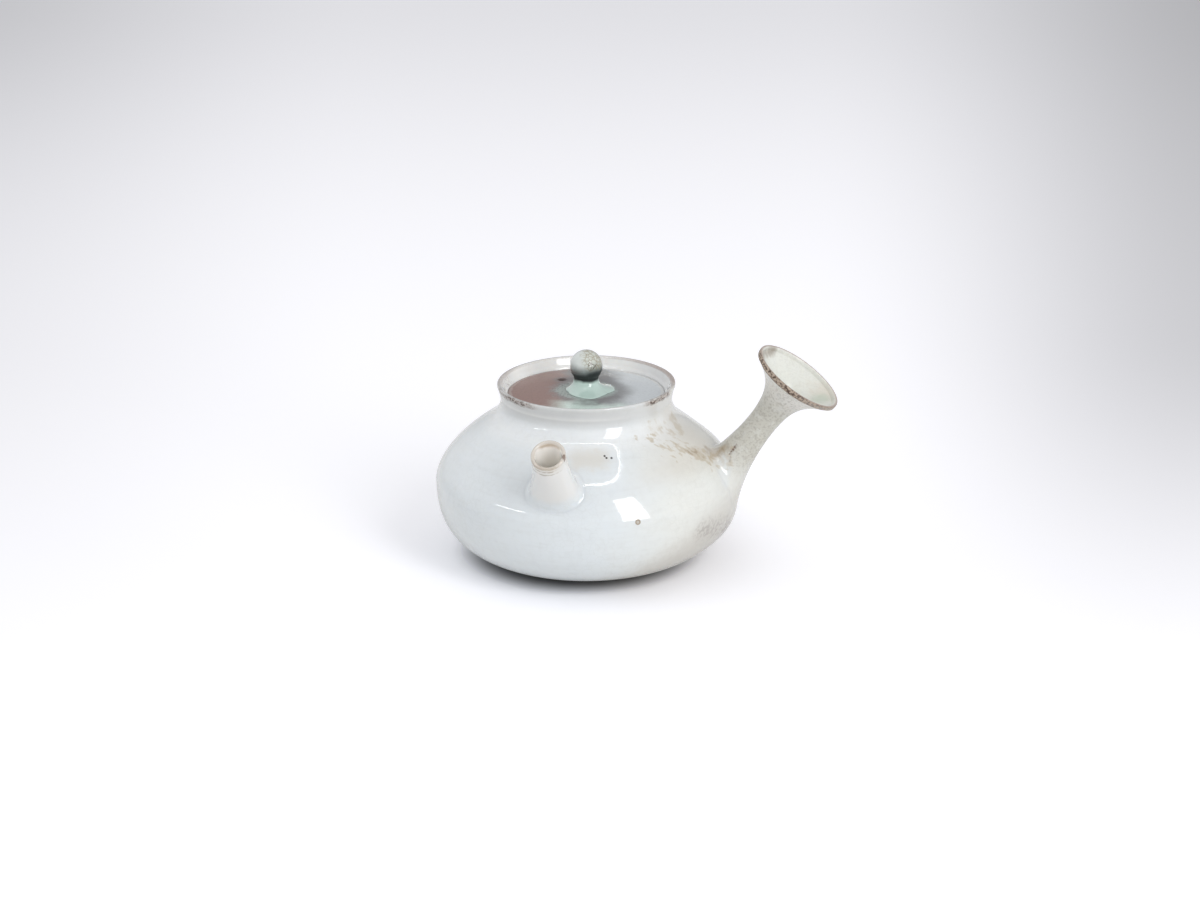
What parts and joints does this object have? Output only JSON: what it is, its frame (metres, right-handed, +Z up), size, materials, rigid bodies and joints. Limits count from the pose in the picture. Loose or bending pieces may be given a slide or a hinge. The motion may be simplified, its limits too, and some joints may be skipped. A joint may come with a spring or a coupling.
{
  "type": "side-handled teapot",
  "caption": "Squat round porcelain teapot with a short spout, a hollow trumpet side handle square to it, a clay strainer and a drop-in lid with a ball knob.",
  "frame": {"origin": "centre of the foot's flat underside, on the pot's turning axis", "axes": "+Z up along the turning axis, -Y the way the spout points, +X the way the handle points"},
  "size_m": [0.1441, 0.1211, 0.0821],
  "materials": {
    "white_glaze": "glossy blue-white porcelain glaze, faintly crackled, with tan kiln marks and a bare brown rim edge",
    "cream_glaze": "satin grey-cream glaze with fine brown speckle and a bare dark lip",
    "bare_clay": "unglazed fired porcelain, matt and slightly toasted",
    "lid_glaze": "glossy glaze running from mauve brown to blue grey, with throwing rings",
    "celadon_glaze": "pooled grey-green glaze over a dark stem and a crackled ball"
  },
  "bodies": {
    "pot": {"body": "white_glaze", "foot": "bare_clay", "spout": "white_glaze", "handle": "cream_glaze", "strainer": "bare_clay"},
    "lid": {"lid_plate": "lid_glaze", "lid_flange": "bare_clay", "lid_knob": "celadon_glaze"}
  },
  "joints": [
    {"name": "lid_lift", "type": "slide", "parent": "pot", "child": "lid", "axis": [0, 0, 1], "range_m": [0, 0.06]}
  ]
}
